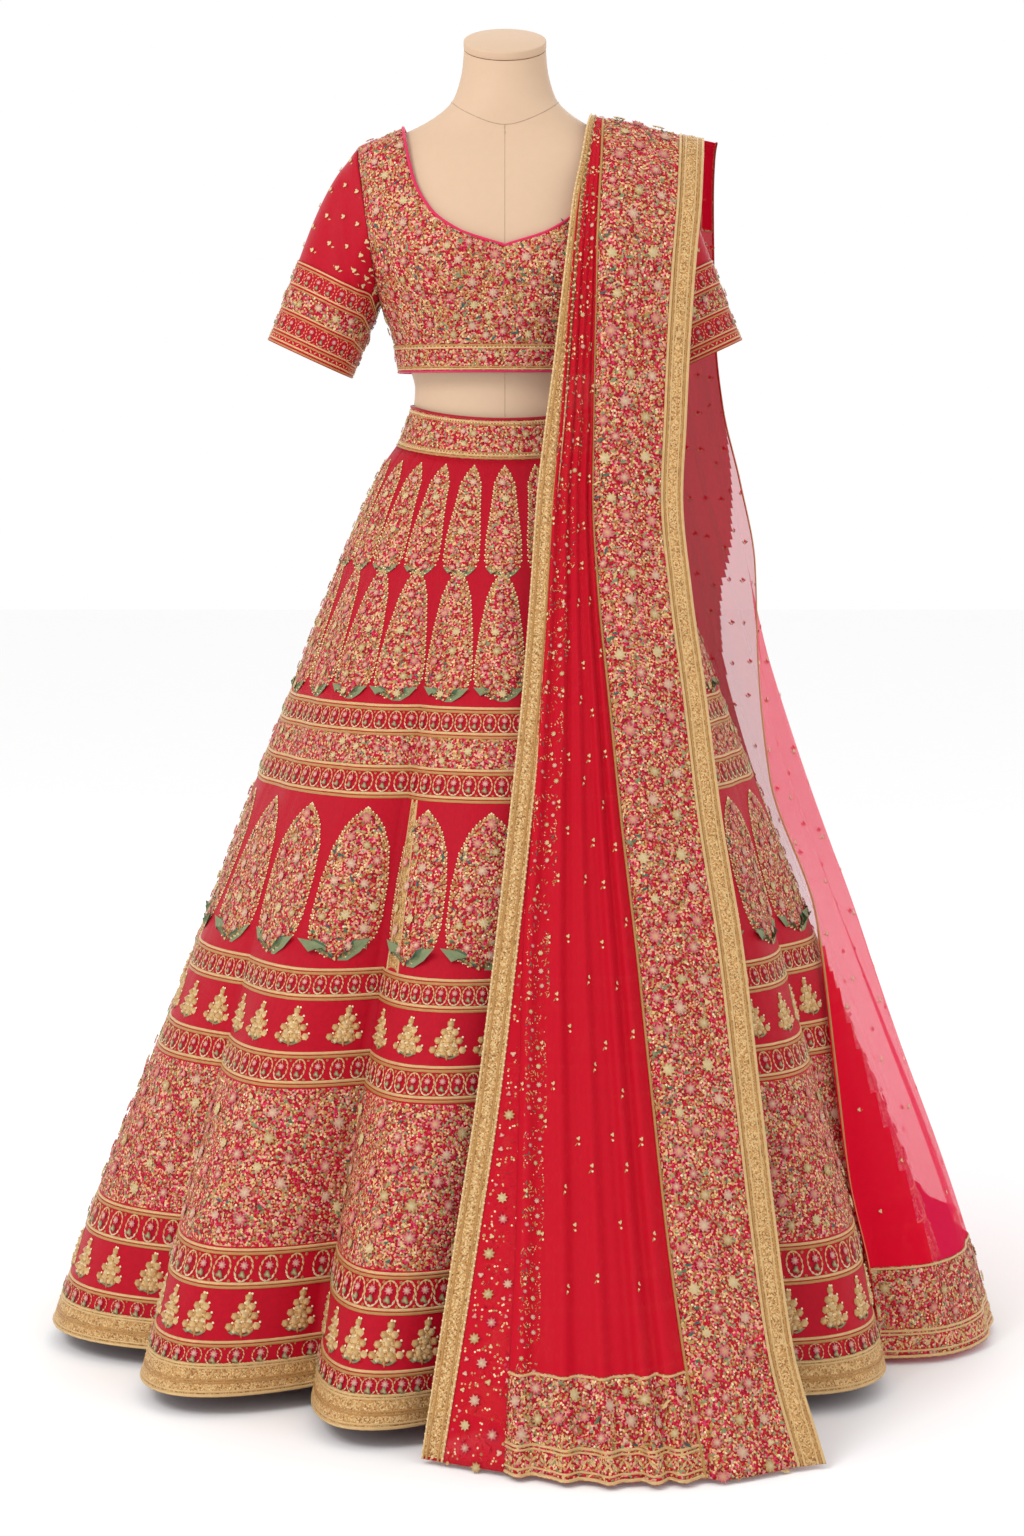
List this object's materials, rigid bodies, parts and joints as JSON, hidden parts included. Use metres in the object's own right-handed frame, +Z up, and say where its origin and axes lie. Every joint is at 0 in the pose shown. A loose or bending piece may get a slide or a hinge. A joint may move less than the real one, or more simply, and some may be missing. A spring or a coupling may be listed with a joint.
{
  "type": "lehenga choli with dupatta on a limbless dress form",
  "caption": "Embroidered flared skirt, short blouse and net veil draped over one shoulder, standing on a smooth limbless dress form with a round base",
  "frame": {"origin": "centre of the underside of the dress form's round base, on the floor", "axes": "+Z up, -Y the front of the garment, +X the wearer's left, where the dupatta hangs"},
  "size_m": [1.1337, 1.2068, 1.5734],
  "materials": {
    "choli_cloth": "crimson raw silk with a soft sheen, covered in floral thread and bead work",
    "lehenga_cloth": "crimson raw silk with a soft sheen, embroidered in bands and motifs",
    "gold_border": "antique gold cord, bead and thread border",
    "piping": "rolled silk piping",
    "dupatta_net": "sheer soft net with scattered gold motifs",
    "form": "smooth beige, matte",
    "form_metal": "satin grey"
  },
  "bodies": {
    "root": {"form_torso": "form", "form_neck_cap": "form", "form_pole": "form_metal", "form_base": "form_metal", "choli_front": "choli_cloth", "choli_back_left": "choli_cloth", "choli_back_right": "choli_cloth", "choli_sleeve_left": "choli_cloth", "choli_sleeve_right": "choli_cloth", "choli_sleeve_border_left": "gold_border", "choli_sleeve_border_right": "gold_border", "choli_hem_band": "gold_border", "choli_neck_piping": "piping", "lehenga_waistband": "gold_border", "lehenga_kali_01": "lehenga_cloth", "lehenga_kali_02": "lehenga_cloth", "lehenga_kali_03": "lehenga_cloth", "lehenga_kali_04": "lehenga_cloth", "lehenga_kali_05": "lehenga_cloth", "lehenga_kali_06": "lehenga_cloth", "lehenga_kali_07": "lehenga_cloth", "lehenga_kali_08": "lehenga_cloth", "lehenga_kali_09": "lehenga_cloth", "lehenga_kali_10": "lehenga_cloth", "lehenga_kali_11": "lehenga_cloth", "lehenga_kali_12": "lehenga_cloth", "lehenga_kali_13": "lehenga_cloth", "lehenga_kali_14": "lehenga_cloth", "lehenga_kali_15": "lehenga_cloth", "lehenga_kali_16": "lehenga_cloth", "lehenga_kali_17": "lehenga_cloth", "lehenga_kali_18": "lehenga_cloth", "lehenga_kali_19": "lehenga_cloth", "lehenga_kali_20": "lehenga_cloth", "lehenga_kali_21": "lehenga_cloth", "lehenga_kali_22": "lehenga_cloth", "lehenga_kali_23": "lehenga_cloth", "lehenga_kali_24": "lehenga_cloth", "lehenga_hem_border_left": "gold_border", "lehenga_hem_border_right": "gold_border", "dupatta_front_inner_border": "gold_border", "dupatta_front_net": "dupatta_net", "dupatta_front_outer_border": "gold_border", "dupatta_front_end_border": "gold_border", "dupatta_back_fall": "dupatta_net", "dupatta_back_end_border": "gold_border"}
  },
  "joints": []
}
